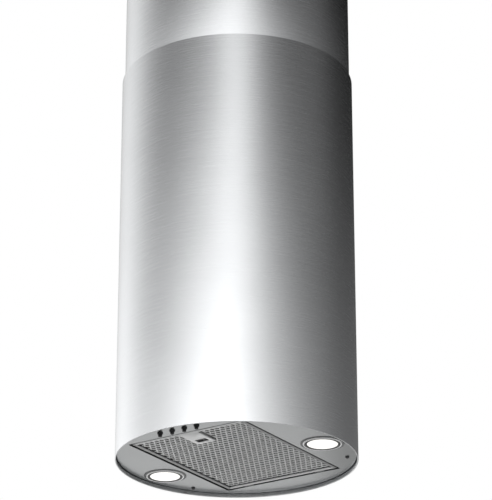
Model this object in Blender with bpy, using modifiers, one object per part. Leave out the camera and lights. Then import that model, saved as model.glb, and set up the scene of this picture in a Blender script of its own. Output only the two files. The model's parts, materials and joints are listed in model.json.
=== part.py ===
"""Island range hood: a round, telescopic, ceiling-hung extractor with a blower, two lamps, four push
buttons and a grease filter that hinges down.

Metres, +Z up. The origin is the centre of the ceiling plate's upper face, so the hood hangs below z = 0.
The buttons are at the front, which is -Y. Run with: blender --background --python part.py
"""

import math

import bmesh
import bpy
from mathutils import Matrix, Vector

# ---------------------------------------------------------------- driving dimensions
DROP = 1.100  # ceiling to the lower rim
SHELL_R = 0.200  # lower shell, outside
SHELL_H = 0.686
SHELL_T = 0.001
HEM_T = 0.002
HEM_H = 0.010
TUBE_R = 0.1956  # upper tube, outside
TUBE_T = 0.001
TUBE_H = 0.500
RIM_Z = -DROP
STEP_Z = RIM_Z + SHELL_H
ROUND = 48  # sides of the large round pieces
SMALL_ROUND = 24
GAP = 0.0003  # between pieces that touch

# Ceiling plate and telescopic posts
PLATE_R = 0.1935
PLATE_T = 0.002
PLATE_FLANGE_H = 0.022
DUCT_HOLE_R = 0.085
SLOT_CENTRE_R = 0.140
SLOT_SIZE = (0.030, 0.008)
CABLE_HOLE_AT = (0.110, -0.070, 0)
CABLE_HOLE_R = 0.012
POST_LEG = 0.025
POST_T = 0.0015
POST_CORNER = 0.118
POST_CLEARANCE = 0.0007
UPPER_POST_END_Z = -0.450
LOWER_POST_TOP_Z = -0.300
TUBE_SCREW_Z = -0.012

# Support plate and blower
SUPPORT_Z = -0.660  # upper face
SUPPORT_R = 0.1980
SUPPORT_FLANGE_H = 0.020
SUPPORT_HOLE_R = 0.082
HANGER_Y = 0.0830
BLOWER_TOP_Z = -0.690
BLOWER_W = 0.150
BLOWER_T = 0.002
SCROLL_Y = -0.060
SCROLL_Z = -0.850
SCROLL_MIN_R = 0.090
SCROLL_MAX_R = 0.135
SCROLL_STEPS = 44
TONGUE_DEG = 70
NECK_HALF = 0.075
INLET_R = 0.062
IMPELLER_R = 0.078
IMPELLER_BLADES = 12
IMPELLER_HALF_W = 0.058
SHAFT_R = 0.004
MOTOR_R = 0.040
MOTOR_INNER_X = 0.012
MOTOR_OUTER_X = 0.086
COLLAR_R = 0.075  # Ø150 mm duct spigot
COLLAR_T = 0.0015
COLLAR_FLANGE = (0.160, 0.180, 0.002)
COLLAR_TOP_Z = -0.595
FLAP_Z = -0.625
PIN_R = 0.0015

# Underside
PANEL_Z = RIM_Z + 0.007  # lower face of the base panel
PANEL_T = 0.001
PANEL_R = 0.1972
PANEL_BEND_R = 0.003
PANEL_EDGE_H = 0.020
FILTER_HALF_X = 0.1076
FILTER_FRONT_Y = -0.1451
FILTER_REAR_Y = 0.1391
FILTER_Z = PANEL_Z + 0.0005  # lower face of the filter's rails
FILTER_H = 0.009
FILTER_GAP = 0.0044
RAIL_W = 0.0055
RAIL_LIP = 0.0024
MESH_EDGE = 0.0030  # mesh edge, in from the frame's outside
MESH_LAYERS = (  # each layer's name, its height above the lowest one, its thickness
    ("filter_mesh_front", 0.0, 0.0008),
    ("filter_core", 0.0011, 0.0014),
    ("filter_mesh_back", 0.0028, 0.0008),
)
TAB_X = 0.070
TAB_HALF_W = 0.008
TAB_T = 0.001
LAMP_X = 0.155
LAMP_Y = 0.017
LAMP_HOLE_R = 0.0285
LAMP_RING_R = 0.0325
LAMP_GLASS_R = 0.0250
LAMP_GLASS_T = 0.0020
BUTTON_Y = -0.169
BUTTON_PITCH = 0.0234
BUTTON_R = 0.0032
COLLAR_OUT_R = 0.0053
BUTTON_OUT = 0.0067  # how far a button stands below the panel
SCREW_X = 0.153
SCREW_Y = 0.098

# Filter latch
LATCH_X = 0.0
LATCH_W = 0.035
LATCH_L = 0.0525
LATCH_SLOT_W = 0.0030
LATCH_SHEET_T = 0.001
FINGER_HOLE = (0.021, 0.012)
FINGER_HOLE_IN = 0.0380  # centre of the finger hole, in from the cover's front
SLIDER_W = 0.022
SLIDER_LOW = FILTER_Z + LATCH_SHEET_T + GAP
SLIDER_HIGH = SLIDER_LOW + 0.0030
TONGUE_CLEAR = 0.0005  # how far the slider's end stops short of the panel's edge
SPRING_ROOM = 0.0105
SPRING_R = 0.0011
SPRING_WIRE_R = 0.00025
SPRING_TURNS = 4

# Wiring box, screws and clearance holes
JUNCTION_X = 0.133
JUNCTION_SIZE = (0.052, 0.090, 0.040)
GLAND_HOLE_R = 0.0105
TUBE_SCREW_HOLE_R = 0.0022
PANEL_SCREW_HOLE_R = 0.0022
PANEL_SCREW_R = 0.0016
CUT = 0.02  # length of a cutter that goes right through a sheet


# An outline drawn in (Y, Z) whose thickness runs along X.
ALONG_X = Matrix(((0, 0, 1, 0), (1, 0, 0, 0), (0, 1, 0, 0), (0, 0, 0, 1)))


# ---------------------------------------------------------------- helpers
def clear_scene():
    for obj in list(bpy.data.objects):
        bpy.data.objects.remove(obj, do_unlink=True)


def collection(name, hidden=False):
    made = bpy.data.collections.new(name)
    made.hide_render = hidden
    bpy.context.scene.collection.children.link(made)
    return made


def finish(name, color, roughness, metallic):
    made = bpy.data.materials.new(name)
    made.use_nodes = True
    shader = made.node_tree.nodes["Principled BSDF"]
    shader.inputs["Base Color"].default_value = (*color, 1.0)
    shader.inputs["Roughness"].default_value = roughness
    shader.inputs["Metallic"].default_value = metallic
    made.diffuse_color = (*color, 1.0)
    return made


FINISHES = {
    "stainless": ((0.62, 0.63, 0.64), 0.32, 1.0),
    "zinc": ((0.66, 0.67, 0.68), 0.45, 1.0),
    "aluminium": ((0.72, 0.72, 0.73), 0.38, 1.0),
    "chrome": ((0.80, 0.80, 0.82), 0.12, 1.0),
    "black_plastic": ((0.03, 0.03, 0.035), 0.45, 0.0),
    "grey_plastic": ((0.30, 0.31, 0.32), 0.50, 0.0),
    "white_plastic": ((0.80, 0.80, 0.78), 0.40, 0.0),
    "glass": ((0.95, 0.95, 0.92), 0.05, 0.0),
    "dark_steel": ((0.16, 0.16, 0.17), 0.40, 1.0),
}


def material_for(name, kind):
    return finish(f"{name}_{kind}", *FINISHES[kind])


def place(obj, kind, parent=None):
    """Gives the object its material and collection, and hangs it under its parent where it stands."""
    for old in list(obj.users_collection):
        old.objects.unlink(obj)
    PARTS.objects.link(obj)
    if kind:
        obj.data.materials.clear()
        obj.data.materials.append(material_for(obj.name, kind))
    if parent is not None:
        obj.parent = parent
        obj.matrix_parent_inverse = Matrix.Translation(parent.location).inverted()
    return obj


def from_bmesh(name, bm, kind, smooth_deg=None, **where):
    mesh = bpy.data.meshes.new(name)
    bm.to_mesh(mesh)
    bm.free()
    if smooth_deg is not None:
        mesh.shade_smooth()
        mesh.set_sharp_from_angle(angle=math.radians(smooth_deg))
    return place(bpy.data.objects.new(name, mesh), kind, **where)


def box(name, low, high, kind, **where):
    """A box between two corners."""
    low, high = Vector(low), Vector(high)
    bm = bmesh.new()
    size = Matrix.Diagonal((*(high - low), 1.0))
    bmesh.ops.create_cube(bm, size=1.0, matrix=Matrix.Translation((low + high) / 2) @ size)
    return from_bmesh(name, bm, kind, **where)


def rod(name, centre, radius, length, kind, axis="Z", sides=SMALL_ROUND, **where):
    """A solid cylinder about a line through centre."""
    turn = {"Z": Matrix(), "X": Matrix.Rotation(math.pi / 2, 4, "Y")}
    bm = bmesh.new()
    bmesh.ops.create_cone(
        bm,
        cap_ends=True,
        segments=sides,
        radius1=radius,
        radius2=radius,
        depth=length,
        matrix=Matrix.Translation(centre) @ turn[axis],
    )
    return from_bmesh(name, bm, kind, smooth_deg=40, **where)


def turned(name, profile, kind, closed=True, sides=ROUND, location=(0, 0, 0), axis="Z", **where):
    """Turns an (r, z) profile about Z. The profile runs down its outer side first."""
    mesh = bpy.data.meshes.new(name)
    edges = [(i, i + 1) for i in range(len(profile) - 1)]
    if closed:
        edges.append((len(profile) - 1, 0))
    mesh.from_pydata([(r, 0, z) for r, z in profile], edges, [])
    obj = place(bpy.data.objects.new(name, mesh), kind, **where)
    screw = obj.modifiers.new("Turn", "SCREW")
    screw.axis = "Z"
    screw.steps = screw.render_steps = sides
    screw.use_merge_vertices = True
    screw.merge_threshold = 0.00001
    screw.use_smooth_shade = True
    obj.matrix_basis = Matrix.Translation(location) @ {
        "Z": Matrix(),
        "X": Matrix.Rotation(math.pi / 2, 4, "Y"),
        "-X": Matrix.Rotation(-math.pi / 2, 4, "Y"),
    }[axis]
    return obj


def outline(name, loops, low_z, high_z, kind, matrix=None, **where):
    """A flat outline, with any holes as further loops, given its thickness in Z, then turned by matrix."""
    curve = bpy.data.curves.new(name, "CURVE")
    curve.dimensions = "2D"
    curve.fill_mode = "BOTH"
    curve.extrude = (high_z - low_z) / 2
    for loop in loops:
        spline = curve.splines.new("POLY")
        spline.points.add(len(loop) - 1)
        for point, (x, y) in zip(spline.points, loop):
            point.co = (x, y, 0, 1)
        spline.use_cyclic_u = True
    source = bpy.data.objects.new(name + "_outline", curve)
    bpy.context.scene.collection.objects.link(source)
    source.matrix_world = (matrix or Matrix()) @ Matrix.Translation((0, 0, (low_z + high_z) / 2))
    bpy.context.view_layer.update()
    evaluated = source.evaluated_get(bpy.context.evaluated_depsgraph_get())
    mesh = bpy.data.meshes.new_from_object(evaluated)
    mesh.transform(source.matrix_world)
    bm = bmesh.new()
    bm.from_mesh(mesh)
    bmesh.ops.remove_doubles(bm, verts=bm.verts, dist=0.00001)
    bmesh.ops.recalc_face_normals(bm, faces=bm.faces)
    bpy.data.objects.remove(source)
    bpy.data.meshes.remove(mesh)
    return from_bmesh(name, bm, kind, **where)


def cutter(obj):
    obj.display_type = "WIRE"
    obj.hide_render = True
    for old in list(obj.users_collection):
        old.objects.unlink(obj)
    CUTTERS.objects.link(obj)
    return obj


def boolean(obj, others, operation="DIFFERENCE"):
    for other in others:
        cutter(other)
        modifier = obj.modifiers.new(operation.title(), "BOOLEAN")
        modifier.operation = operation
        modifier.solver = "EXACT"
        modifier.object = other
    return obj


def ring_points(radius, sides, centre=(0, 0), start=0.0, turn=2 * math.pi):
    steps = sides if turn >= 2 * math.pi - 1e-9 else sides + 1
    return [
        (
            centre[0] + radius * math.cos(start + turn * i / sides),
            centre[1] + radius * math.sin(start + turn * i / sides),
        )
        for i in range(steps)
    ]


def rectangle(low, high, corner=0.0, steps=3):
    """A rectangle's outline, its corners rounded."""
    if not corner:
        return [(low[0], low[1]), (high[0], low[1]), (high[0], high[1]), (low[0], high[1])]
    corners = [
        (high[0] - corner, high[1] - corner, 0),
        (low[0] + corner, high[1] - corner, 1),
        (low[0] + corner, low[1] + corner, 2),
        (high[0] - corner, low[1] + corner, 3),
    ]
    return [
        point
        for x, y, quarter in corners
        for point in ring_points(corner, steps, (x, y), quarter * math.pi / 2, math.pi / 2)
    ]


def stadium(length, width, centre, steps=5):
    """A slot's outline, long in X."""
    half = (length - width) / 2
    right = ring_points(width / 2, steps, (centre[0] + half, centre[1]), -math.pi / 2, math.pi)
    left = ring_points(width / 2, steps, (centre[0] - half, centre[1]), math.pi / 2, math.pi)
    return right + left


def empty(name, location):
    made = bpy.data.objects.new(name, None)
    made.location = location
    made.empty_display_size = 0.02
    PARTS.objects.link(made)
    return made


# ---------------------------------------------------------------- ceiling frame
def make_ceiling_plate():
    flange_inner_r = PLATE_R - POST_T
    plate = turned(
        "ceiling_plate",
        [
            (PLATE_R, 0),
            (PLATE_R, -PLATE_FLANGE_H),
            (flange_inner_r, -PLATE_FLANGE_H),
            (flange_inner_r, -PLATE_T),
            (DUCT_HOLE_R, -PLATE_T),
            (DUCT_HOLE_R, 0),
        ],
        "zinc",
    )
    slots = []
    for i in range(4):
        angle = math.pi / 2 * i
        turn = Matrix.Rotation(angle, 4, "Z")
        slot = stadium(*SLOT_SIZE, (0, SLOT_CENTRE_R))
        slots.append(outline(f"ceiling_slot_{i}", [slot], -CUT / 2, CUT / 2, None, turn))
    cable_hole = rod("cable_hole", CABLE_HOLE_AT, CABLE_HOLE_R, CUT, None)
    boolean(plate, [*slots, cable_hole, *tube_screw_cutters("plate")])


def tube_screw_cutters(name):
    return [
        rod(f"{name}_screw_cut_{x}", (x, 0, TUBE_SCREW_Z), TUBE_SCREW_HOLE_R, CUT, None, "X", 12)
        for x in (-TUBE_R, TUBE_R)
    ]


def make_upper_tube():
    tube = turned(
        "upper_tube",
        [(TUBE_R, 0), (TUBE_R, -TUBE_H), (TUBE_R - TUBE_T, -TUBE_H), (TUBE_R - TUBE_T, 0)],
        "stainless",
    )
    boolean(tube, tube_screw_cutters("tube"))
    head_x = TUBE_R + GAP
    for side, word in ((-1, "left"), (1, "right")):
        turned(
            f"tube_screw_{word}",
            [(0, 0.0018), (0.0022, 0.0016), (0.0037, 0), (0.0018, 0), (0.0018, -0.007), (0, -0.007)],
            "chrome",
            closed=False,
            sides=12,
            location=(side * (head_x - 0.0002), 0, TUBE_SCREW_Z),
            axis="X" if side > 0 else "-X",
        )


def angle_section(corner, leg, thick):
    """An angle's outline: its outer corner is at (corner, corner) and its legs run back from there."""
    inner = corner - thick
    end = corner - leg
    return [(corner, corner), (end, corner), (end, inner), (inner, inner), (inner, end), (corner, end)]


def make_posts():
    inner_corner = POST_CORNER - POST_T - POST_CLEARANCE
    for i, word in enumerate(("rear_right", "rear_left", "front_left", "front_right")):
        turn = Matrix.Rotation(math.pi / 2 * i, 4, "Z")
        section = angle_section(POST_CORNER, POST_LEG, POST_T)
        outline(f"upper_post_{word}", [section], UPPER_POST_END_Z, -PLATE_T - GAP, "zinc", turn)
        section = angle_section(inner_corner, POST_LEG - POST_T - POST_CLEARANCE, POST_T)
        outline(
            f"lower_post_{word}",
            [section],
            SUPPORT_Z + GAP,
            LOWER_POST_TOP_Z,
            "zinc",
            turn,
            parent=LOWER,
        )


# ---------------------------------------------------------------- lower unit
def make_lower_shell():
    inner = SHELL_R - SHELL_T
    hem = SHELL_R - HEM_T
    ease = 0.0006
    turned(
        "lower_shell",
        [
            (SHELL_R, STEP_Z),
            (SHELL_R, RIM_Z + ease),
            (SHELL_R - ease, RIM_Z),
            (hem + ease, RIM_Z),
            (hem, RIM_Z + ease),
            (hem, RIM_Z + HEM_H),
            (inner, RIM_Z + HEM_H + 0.001),
            (inner, STEP_Z),
        ],
        "stainless",
        parent=LOWER,
    )


def make_support_plate():
    flange_inner_r = SUPPORT_R - POST_T
    plate = turned(
        "support_plate",
        [
            (SUPPORT_R, SUPPORT_Z),
            (SUPPORT_R, SUPPORT_Z - SUPPORT_FLANGE_H),
            (flange_inner_r, SUPPORT_Z - SUPPORT_FLANGE_H),
            (flange_inner_r, SUPPORT_Z - PLATE_T),
            (SUPPORT_HOLE_R, SUPPORT_Z - PLATE_T),
            (SUPPORT_HOLE_R, SUPPORT_Z),
        ],
        "zinc",
        parent=LOWER,
    )
    boolean(plate, [rod("gland_hole", (JUNCTION_X, 0, SUPPORT_Z), GLAND_HOLE_R, CUT, None, sides=16)])


def make_hangers():
    top = SUPPORT_Z - PLATE_T - GAP
    bottom = BLOWER_TOP_Z + GAP + COLLAR_FLANGE[2] + GAP
    wide = 0.014
    for side, word in ((-1, "front"), (1, "rear")):
        near, far = side * (HANGER_Y - wide / 2), side * (HANGER_Y + wide / 2)
        web = far - side * POST_T
        section = [
            (near, top),
            (far, top),
            (far, bottom),
            (near, bottom),
            (near, bottom + POST_T),
            (web, bottom + POST_T),
            (web, top - POST_T),
            (near, top - POST_T),
        ]
        outline(f"hanger_{word}", [section], -0.072, 0.072, "zinc", ALONG_X, parent=LOWER)


def scroll_outline(inset):
    """The blower's side view in (Y, Z): a spiral that grows from the tongue round to a straight outer wall,
    then the neck, which widens to the outlet. inset is the wall's thickness for the inner surface."""
    start = math.radians(TONGUE_DEG)
    spiral = []
    for i in range(SCROLL_STEPS + 1):
        share = i / SCROLL_STEPS
        angle = start + (2 * math.pi - start) * share
        radius = SCROLL_MIN_R + (SCROLL_MAX_R - SCROLL_MIN_R) * share - inset
        spiral.append((SCROLL_Y + radius * math.cos(angle), SCROLL_Z + radius * math.sin(angle)))
    top = BLOWER_TOP_Z + (0.005 if inset else 0)
    tongue = spiral[0]
    lean = (tongue[0] + inset * 1.6, tongue[1] + (0.006 if inset else 0.010))
    return [*spiral, (NECK_HALF - inset, top), (-NECK_HALF + inset, top), lean]


def make_blower_housing():
    half = BLOWER_W / 2
    scroll = [scroll_outline(0)]
    housing = outline("blower_housing", scroll, -half, half, "grey_plastic", ALONG_X, parent=LOWER)
    hollow_half = half - BLOWER_T
    hollow = outline("scroll_hollow", [scroll_outline(BLOWER_T)], -hollow_half, hollow_half, None, ALONG_X)
    inlet = rod("inlet_cut", (0, SCROLL_Y, SCROLL_Z), INLET_R + 0.002, BLOWER_W + 0.02, None, "X")
    boolean(housing, [hollow, inlet])
    for side, word in ((-1, "left"), (1, "right")):
        turned(
            f"inlet_ring_{word}",
            [
                (INLET_R + 0.010, 0.0018),
                (INLET_R + 0.010, GAP),
                (INLET_R, GAP),
                (INLET_R - 0.005, -0.010),
                (INLET_R - 0.0065, -0.010),
                (INLET_R - 0.001, 0.0018),
            ],
            "grey_plastic",
            sides=SMALL_ROUND,
            location=(side * half, SCROLL_Y, SCROLL_Z),
            axis="X" if side > 0 else "-X",
            parent=LOWER,
        )


def make_motor():
    x0, x1 = MOTOR_INNER_X, MOTOR_OUTER_X
    ease = 0.006
    bore = SHAFT_R + GAP
    turned(
        "motor",
        [
            (0, x1),
            (MOTOR_R - ease, x1),
            (MOTOR_R, x1 - ease),
            (MOTOR_R, x0 + ease),
            (MOTOR_R - ease, x0),
            (bore, x0),
            (bore, x1 - 0.012),
            (0, x1 - 0.012),
        ],
        "dark_steel",
        closed=False,
        location=(0, SCROLL_Y, SCROLL_Z),
        axis="X",
        sides=SMALL_ROUND,
        parent=LOWER,
    )
    plate_x = BLOWER_W / 2 + 0.0024
    thick = 0.003
    hold_r = MOTOR_R + GAP
    turned_ring = [
        (hold_r + 0.006, thick),
        (hold_r + 0.006, 0),
        (hold_r, 0),
        (hold_r, thick),
    ]
    mount = turned(
        "motor_mount",
        turned_ring,
        "zinc",
        location=(plate_x, SCROLL_Y, SCROLL_Z),
        axis="X",
        sides=SMALL_ROUND,
        parent=LOWER,
    )
    arms = []
    for i in range(3):
        angle = math.radians(90 + 120 * i)
        turn = Matrix.Translation((0, SCROLL_Y, SCROLL_Z)) @ Matrix.Rotation(angle, 4, "X")
        arm = box(f"mount_arm_{i}", (plate_x, hold_r + 0.002, -0.006), (plate_x + thick, 0.083, 0.006), None)
        foot = rod(f"mount_foot_{i}", (plate_x - 0.0003, 0.078, 0), 0.0045, 0.0036, None, "X", 10)
        for piece in (arm, foot):
            piece.data.transform(turn)
        arms += [arm, foot]
    boolean(mount, arms, "UNION")


def make_impeller():
    hub_r, hub_half = 0.012, 0.009
    disc_half = 0.001
    bore = SHAFT_R + GAP
    inner_r = IMPELLER_R - 0.015
    wheel = turned(
        "impeller",
        [
            (IMPELLER_R, disc_half),
            (IMPELLER_R, -disc_half),
            (hub_r, -disc_half),
            (hub_r, -hub_half),
            (bore, -hub_half),
            (bore, hub_half),
            (hub_r, hub_half),
            (hub_r, disc_half),
        ],
        "black_plastic",
        location=(0, SCROLL_Y, SCROLL_Z),
        axis="X",
        sides=SMALL_ROUND,
        parent=IMPELLER_AXIS,
    )
    joined = []
    for side in (-1, 1):
        rim = turned(
            f"impeller_rim_{side}",
            [
                (IMPELLER_R + 0.001, 0.001),
                (IMPELLER_R + 0.001, -0.001),
                (IMPELLER_R - 0.004, -0.001),
                (IMPELLER_R - 0.004, 0.001),
            ],
            None,
            location=(side * (IMPELLER_HALF_W - 0.001), SCROLL_Y, SCROLL_Z),
            axis="X",
            sides=SMALL_ROUND,
        )
        joined.append(rim)
    tip_r = IMPELLER_R - 0.0006
    for i in range(IMPELLER_BLADES):
        turn = Matrix.Rotation(2 * math.pi * i / IMPELLER_BLADES, 4, "X")
        blade = outline(
            f"blade_{i}",
            [[(inner_r, -0.0006), (tip_r, 0.0066), (tip_r, 0.0081), (inner_r, 0.0006)]],
            -IMPELLER_HALF_W + 0.0012,
            IMPELLER_HALF_W - 0.0012,
            None,
            Matrix.Translation((0, SCROLL_Y, SCROLL_Z)) @ turn @ ALONG_X,
        )
        joined.append(blade)
    boolean(wheel, joined, "UNION")
    shaft_end = MOTOR_OUTER_X - 0.014
    rod(
        "motor_shaft",
        ((shaft_end - hub_half) / 2, SCROLL_Y, SCROLL_Z),
        SHAFT_R,
        shaft_end + hub_half,
        "chrome",
        "X",
        12,
        parent=IMPELLER_AXIS,
    )


def make_outlet():
    base = BLOWER_TOP_Z + GAP
    half_x, half_y = COLLAR_FLANGE[0] / 2, COLLAR_FLANGE[1] / 2
    bore_r = COLLAR_R - COLLAR_T
    collar = outline(
        "outlet_collar",
        [rectangle((-half_x, -half_y), (half_x, half_y)), ring_points(bore_r, 32)],
        base,
        base + COLLAR_FLANGE[2],
        "grey_plastic",
        parent=LOWER,
    )
    spigot = turned(
        "collar_spigot",
        [(COLLAR_R, COLLAR_TOP_Z), (COLLAR_R, base + 0.001), (bore_r, base + 0.001), (bore_r, COLLAR_TOP_Z)],
        None,
        sides=32,
    )
    boolean(collar, [spigot], "UNION")
    boolean(collar, [rod("flap_pin_hole", (0, 0, FLAP_Z), PIN_R + GAP, 0.17, None, "X", 12)])
    rod("flap_pin", (0, 0, FLAP_Z), PIN_R, 2 * COLLAR_R + 0.002, "chrome", "X", 12, parent=LOWER)


def make_flaps():
    """Two half discs on one pin, whose knuckles take turns along it."""
    knuckle_r = 0.0034
    plate_r = COLLAR_R - COLLAR_T - 0.0012
    clear_y = knuckle_r + 0.0004
    thick = 0.0012
    spans = {"front": (-0.030, 0.030), "rear": (-0.052, 0.052)}
    for side, word in ((-1, "front"), (1, "rear")):
        sweep = math.acos(clear_y / plate_r)
        middle = side * math.pi / 2
        arc = ring_points(plate_r, 16, (0, 0), middle - sweep, 2 * sweep)
        flap = outline(
            f"flap_{word}",
            [arc],
            FLAP_Z - thick / 2,
            FLAP_Z + thick / 2,
            "black_plastic",
            parent=FLAP_AXES[word],
        )
        joined = []
        for i, x in enumerate(spans[word]):
            tube = rod(f"{word}_knuckle_{i}", (x, 0, FLAP_Z), knuckle_r, 0.016, None, "X", 12)
            web = box(
                f"{word}_web_{i}",
                (x - 0.008, min(side * 0.002, side * 0.006), FLAP_Z - thick / 2),
                (x + 0.008, max(side * 0.002, side * 0.006), FLAP_Z + thick / 2),
                None,
            )
            joined += [web, tube]
        boolean(flap, joined, "UNION")
        boolean(flap, [rod(f"{word}_bore", (0, 0, FLAP_Z), PIN_R + GAP, 0.16, None, "X", 12)])



def make_electrics():
    under = SUPPORT_Z - PLATE_T - GAP
    sx, sy, sz = JUNCTION_SIZE
    low = (JUNCTION_X - sx / 2, -sy / 2, under - sz)
    high = (JUNCTION_X + sx / 2, sy / 2, under)
    wall = 0.002
    case = box("junction_box", low, high, "white_plastic", parent=LOWER)
    hollow = box(
        "junction_hollow",
        (low[0] + wall, low[1] + wall, low[2] - 0.01),
        (high[0] - wall, high[1] - wall, high[2] - wall),
        None,
    )
    gland_cut = rod("junction_gland_cut", (JUNCTION_X, 0, under), GLAND_HOLE_R, CUT, None, sides=16)
    boolean(case, [hollow, gland_cut])
    box(
        "junction_cover",
        (low[0], low[1], low[2] - GAP - wall),
        (high[0], high[1], low[2] - GAP),
        "white_plastic",
        parent=LOWER,
    )
    top = SUPPORT_Z + GAP
    turned(
        "cable_gland",
        [
            (0.0085, top + 0.016),
            (0.0140, top + 0.008),
            (0.0140, top),
            (0.0100, top),
            (0.0100, top - 0.012),
            (0.0042, top - 0.012),
            (0.0042, top + 0.016),
        ],
        "black_plastic",
        sides=16,
        location=(JUNCTION_X, 0, 0),
        parent=LOWER,
    )
    rod("capacitor", (-0.118, 0.070, under - 0.032), 0.0175, 0.064, "white_plastic", parent=LOWER)
    low, high = (-0.055, 0.102, under - 0.034), (0.055, 0.148, under)
    box("lamp_transformer", low, high, "black_plastic", parent=LOWER)


# ---------------------------------------------------------------- underside
def make_base_panel():
    top, bottom, bend = PANEL_Z + PANEL_T, PANEL_Z, PANEL_BEND_R
    edge_top = PANEL_Z + PANEL_EDGE_H
    inner = PANEL_R - PANEL_T
    steps = 2
    outer_bend = [
        (
            PANEL_R - bend + bend * math.cos(math.pi / 2 * i / steps),
            bottom + bend - bend * math.sin(math.pi / 2 * i / steps),
        )
        for i in range(steps + 1)
    ]
    inner_bend = [
        (
            PANEL_R - bend + (bend - PANEL_T) * math.sin(math.pi / 2 * i / steps),
            bottom + bend - (bend - PANEL_T) * math.cos(math.pi / 2 * i / steps),
        )
        for i in range(steps + 1)
    ]
    panel = turned(
        "base_panel",
        [(0, top), *inner_bend, (inner, edge_top), (PANEL_R, edge_top), *outer_bend, (0, bottom)],
        "stainless",
        closed=False,
        parent=LOWER,
    )
    opening = outline(
        "filter_opening",
        [
            rectangle(
                (-FILTER_HALF_X - FILTER_GAP, FILTER_FRONT_Y - FILTER_GAP),
                (FILTER_HALF_X + FILTER_GAP, FILTER_REAR_Y + FILTER_GAP),
                0.002,
                2,
            )
        ],
        PANEL_Z - 0.01,
        PANEL_Z + 0.01,
        None,
    )
    holes = [opening]
    for side in (-1, 1):
        lamp_at = (side * LAMP_X, LAMP_Y, PANEL_Z)
        screw_at = (side * SCREW_X, SCREW_Y, PANEL_Z)
        holes.append(rod(f"lamp_hole_{side}", lamp_at, LAMP_HOLE_R, CUT, None))
        holes.append(rod(f"screw_hole_{side}", screw_at, PANEL_SCREW_HOLE_R, CUT, None, sides=10))
    for i in range(4):
        button_at = (button_x(i), BUTTON_Y, PANEL_Z)
        holes.append(rod(f"button_hole_{i}", button_at, COLLAR_OUT_R + GAP, CUT, None, sides=12))
    boolean(panel, holes)


def make_panel_fixings():
    """A sheet bracket on the shell's wall behind each panel screw, and the screw."""
    bottom = PANEL_Z + PANEL_T + GAP
    for side, word in ((-1, "left"), (1, "right")):
        reach = math.hypot(SCREW_X, SCREW_Y)
        turn = Matrix.Rotation(math.atan2(SCREW_Y, side * SCREW_X), 4, "Z")
        lip = reach - 0.008
        foot = PANEL_R - PANEL_BEND_R - 0.0008
        riser = foot + 0.0021
        wall = SHELL_R - SHELL_T - 0.0010
        step = bottom + PANEL_EDGE_H + 0.0025
        section = [
            (lip, bottom),
            (foot, bottom),
            (riser, bottom + 0.0055),
            (riser, step),
            (wall, step),
            (wall, step + 0.0175),
            (wall - 0.002, step + 0.0175),
            (wall - 0.002, step + 0.0020),
            (riser - 0.002, step + 0.0020),
            (riser - 0.002, bottom + 0.0062),
            (foot - 0.0009, bottom + 0.0020),
            (lip, bottom + 0.0020),
        ]
        # The section is drawn in (outwards, up) and is 20 mm wide.
        upright = Matrix(((1, 0, 0, 0), (0, 0, 1, 0), (0, 1, 0, 0), (0, 0, 0, 1)))
        name = f"panel_bracket_{word}"
        bracket = outline(name, [section], -0.010, 0.010, "zinc", turn @ upright, parent=LOWER)
        hole = rod(f"bracket_hole_{word}", (side * SCREW_X, SCREW_Y, bottom), 0.0020, CUT, None, sides=10)
        boolean(bracket, [hole])
        head = PANEL_Z - GAP
        turned(
            f"panel_screw_{word}",
            [
                (0, bottom + 0.006),
                (PANEL_SCREW_R, bottom + 0.006),
                (PANEL_SCREW_R, head),
                (0.0036, head),
                (0.0030, head - 0.0014),
                (0.0016, head - 0.0020),
                (0, head - 0.0020),
            ],
            "dark_steel",
            closed=False,
            sides=12,
            location=(side * SCREW_X, SCREW_Y, 0),
            parent=LOWER,
        )


def button_x(i):
    return (i - 1.5) * BUTTON_PITCH


def make_lamps():
    for side, word in ((-1, "left"), (1, "right")):
        at = (side * LAMP_X, LAMP_Y, 0)
        under, above = PANEL_Z - GAP, PANEL_Z + PANEL_T
        turned(
            f"lamp_ring_{word}",
            [
                (LAMP_HOLE_R - GAP, above + 0.006),
                (LAMP_HOLE_R - GAP, under),
                (LAMP_RING_R, under),
                (LAMP_RING_R - 0.0010, under - 0.0014),
                (LAMP_GLASS_R + 0.0030, under - 0.0018),
                (LAMP_GLASS_R - 0.0010, under - 0.0002),
                (LAMP_GLASS_R - 0.0010, under + 0.0010),
                (LAMP_GLASS_R + 0.0014, under + 0.0010),
                (LAMP_GLASS_R + 0.0014, above + 0.006),
            ],
            "chrome",
            sides=SMALL_ROUND,
            location=at,
            parent=LOWER,
        )
        glass_low = under + 0.0010 + GAP
        glass_high = glass_low + LAMP_GLASS_T
        turned(
            f"lamp_glass_{word}",
            [(0, glass_high), (LAMP_GLASS_R, glass_high), (LAMP_GLASS_R, glass_low), (0, glass_low)],
            "glass",
            closed=False,
            sides=SMALL_ROUND,
            location=at,
            parent=LOWER,
        )
        rear = glass_high + GAP
        wall = 0.0008
        turned(
            f"lamp_reflector_{word}",
            [
                (0.0090, rear + 0.030),
                (0.0190, rear + 0.018),
                (0.0245, rear),
                (0.0245 - wall, rear),
                (0.0190 - wall, rear + 0.018),
                (0.0090 - wall, rear + 0.030),
            ],
            "chrome",
            sides=SMALL_ROUND,
            location=at,
            parent=LOWER,
        )
        base = rear + 0.030 + GAP
        turned(
            f"lamp_holder_{word}",
            [
                (0, base + 0.014),
                (0.0095, base + 0.014),
                (0.0110, base + 0.012),
                (0.0110, base),
                (0.0030, base),
                (0.0030, base - 0.012),
                (0, base - 0.012),
            ],
            "white_plastic",
            closed=False,
            sides=12,
            location=at,
            parent=LOWER,
        )


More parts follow.
